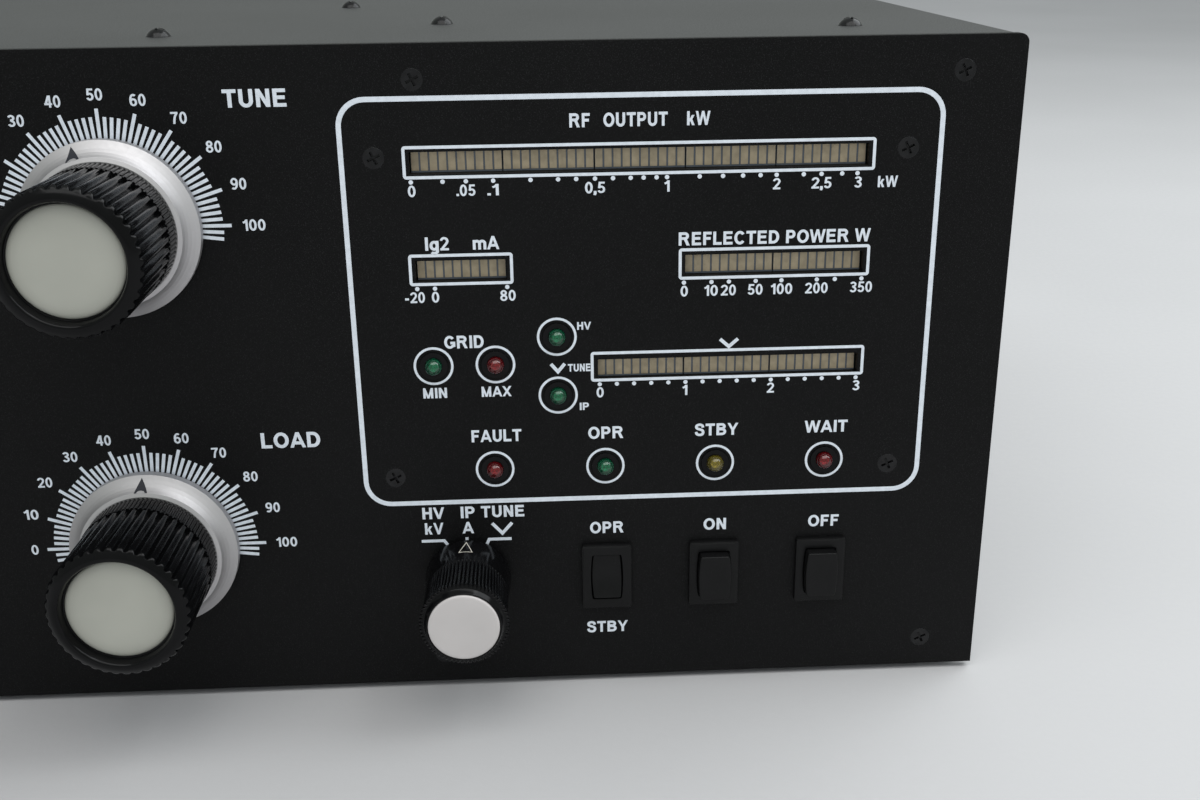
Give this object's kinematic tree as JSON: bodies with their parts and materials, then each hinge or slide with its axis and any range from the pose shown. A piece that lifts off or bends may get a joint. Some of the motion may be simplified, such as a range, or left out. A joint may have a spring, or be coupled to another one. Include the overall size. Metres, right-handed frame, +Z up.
{
  "type": "hf linear amplifier",
  "caption": "Desktop tetrode amplifier for shortwave transmitters: black steel case, reduction-drive tuning dials, bar-graph meters, lamps, selector knobs and switches.",
  "frame": {"origin": "centre of the footprint, on the surface that the feet stand on", "axes": "+Z up, +X to the right of somebody facing the front panel, -Y out of the front panel"},
  "size_m": [0.485, 0.455, 0.1994],
  "materials": {
    "powder_black": "fine-textured black powder coat",
    "sheet_aluminium": "plain mill-finish sheet",
    "satin_aluminium": "satin turned",
    "machined_steel": "bright turned",
    "gloss_black": "polished moulding",
    "switch_black": "satin moulding",
    "screw_black": "blackened steel",
    "dial_cap_grey": "fine matte",
    "selector_cap_grey": "fine matte",
    "rubber": "matte",
    "board_green": "solder-masked laminate",
    "brass": "bright",
    "module_grey": "smooth display face",
    "segment_beige": "unlit diffusing segment",
    "led_green": "clear tinted epoxy",
    "led_red": "clear tinted epoxy",
    "led_yellow": "clear tinted epoxy",
    "ceramic_white": "glazed ceramic",
    "tube_silver": "silver-plated",
    "chimney_white": "glass-fibre laminate",
    "copper": "bare copper tube",
    "blower_grey": "painted",
    "wheel_zinc": "zinc-plated",
    "transformer_wrap": "varnished tape",
    "capacitor_blue": "shrink sleeve",
    "relay_black": "moulded",
    "socket_nickel": "nickel-plated",
    "switch_blue": "moulded"
  },
  "bodies": {
    "chassis": {"front_panel": "powder_black", "chassis_tray": "sheet_aluminium", "front_bulkhead": "sheet_aluminium", "divider_wall": "sheet_aluminium", "rear_panel": "powder_black", "top_cover": "powder_black", "rubber_feet": "rubber", "countersunk_screws": "screw_black", "domed_screws": "screw_black", "display_board": "board_green", "board_spacers": "brass", "bar_modules": "module_grey", "bar_segments": "segment_beige", "led_holders": "gloss_black", "green_leds": "led_green", "red_leds": "led_red", "yellow_led": "led_yellow", "switch_housings": "switch_black", "meter_switch": "switch_blue", "band_switch": "ceramic_white", "drive_housings": "brass", "capacitor_stators": "satin_aluminium", "capacitor_end_plates": "sheet_aluminium", "ceramic_posts": "ceramic_white", "power_tube": "tube_silver", "tube_socket": "sheet_aluminium", "tube_chimney": "chimney_white", "tank_coil": "copper", "blower_housing": "blower_grey", "transformers": "transformer_wrap", "rectifier_board": "board_green", "hv_capacitors": "capacitor_blue", "relays": "relay_black", "rf_sockets": "socket_nickel", "ground_post": "brass", "mains_inlet": "switch_black", "fuse_holders": "switch_black", "control_sockets": "socket_nickel"},
    "tune_dial": {"tune_skirt": "satin_aluminium", "tune_ring": "gloss_black", "tune_rotor": "satin_aluminium"},
    "tune_control": {"tune_knob": "gloss_black", "tune_knob_cap": "dial_cap_grey", "tune_spindle": "machined_steel"},
    "load_dial": {"load_skirt": "satin_aluminium", "load_ring": "gloss_black", "load_rotor": "satin_aluminium"},
    "load_control": {"load_knob": "gloss_black", "load_knob_cap": "dial_cap_grey", "load_spindle": "machined_steel"},
    "band_selector": {"band_knob": "gloss_black", "band_knob_cap": "selector_cap_grey", "band_switch_shaft": "machined_steel"},
    "meter_selector": {"meter_knob": "gloss_black", "meter_knob_cap": "selector_cap_grey", "meter_switch_shaft": "machined_steel"},
    "standby_switch": {"standby_rocker": "switch_black"},
    "on_switch": {"on_button": "switch_black"},
    "off_switch": {"off_button": "switch_black"},
    "blower_rotor": {"blower_wheel": "wheel_zinc"}
  },
  "joints": [
    {"name": "tune_dial_turn", "type": "hinge", "parent": "chassis", "child": "tune_dial", "pos_m": [-0.009, -0.188, 0.149], "axis": [0, 1, 0], "range_deg": [-73.8, 106.2]},
    {"name": "tune_knob_turn", "type": "hinge", "parent": "chassis", "child": "tune_control", "pos_m": [-0.009, -0.188, 0.149], "axis": [0, 1, 0], "range_deg": [-443, 637.4]},
    {"name": "load_dial_turn", "type": "hinge", "parent": "chassis", "child": "load_dial", "pos_m": [-0.009, -0.188, 0.052], "axis": [0, 1, 0], "range_deg": [-89.1, 90.9]},
    {"name": "load_knob_turn", "type": "hinge", "parent": "chassis", "child": "load_control", "pos_m": [-0.009, -0.188, 0.052], "axis": [0, 1, 0], "range_deg": [-534.8, 545.6]},
    {"name": "band_turn", "type": "hinge", "parent": "chassis", "child": "band_selector", "pos_m": [-0.128, -0.188, 0.0995], "axis": [0, 1, 0], "range_deg": [-120, 120]},
    {"name": "meter_turn", "type": "hinge", "parent": "chassis", "child": "meter_selector", "pos_m": [0.0837, -0.188, 0.0387], "axis": [0, 1, 0], "range_deg": [-30, 30]},
    {"name": "standby_rock", "type": "hinge", "parent": "chassis", "child": "standby_switch", "pos_m": [0.126, -0.188, 0.0375], "axis": [1, 0, 0], "range_deg": [0, 18]},
    {"name": "on_press", "type": "slide", "parent": "chassis", "child": "on_switch", "axis": [0, 1, 0], "range_m": [0, 0.0025], "stiffness_N_per_m": 400},
    {"name": "off_press", "type": "slide", "parent": "chassis", "child": "off_switch", "axis": [0, 1, 0], "range_m": [0, 0.0025], "stiffness_N_per_m": 400},
    {"name": "blower_spin", "type": "hinge", "parent": "chassis", "child": "blower_rotor", "pos_m": [-0.045, 0.15, 0.082], "axis": [0, 1, 0], "continuous": true}
  ],
  "couplings": [
    {"joint": "tune_knob_turn", "follows": "tune_dial_turn", "ratio": 6},
    {"joint": "load_knob_turn", "follows": "load_dial_turn", "ratio": 6}
  ]
}
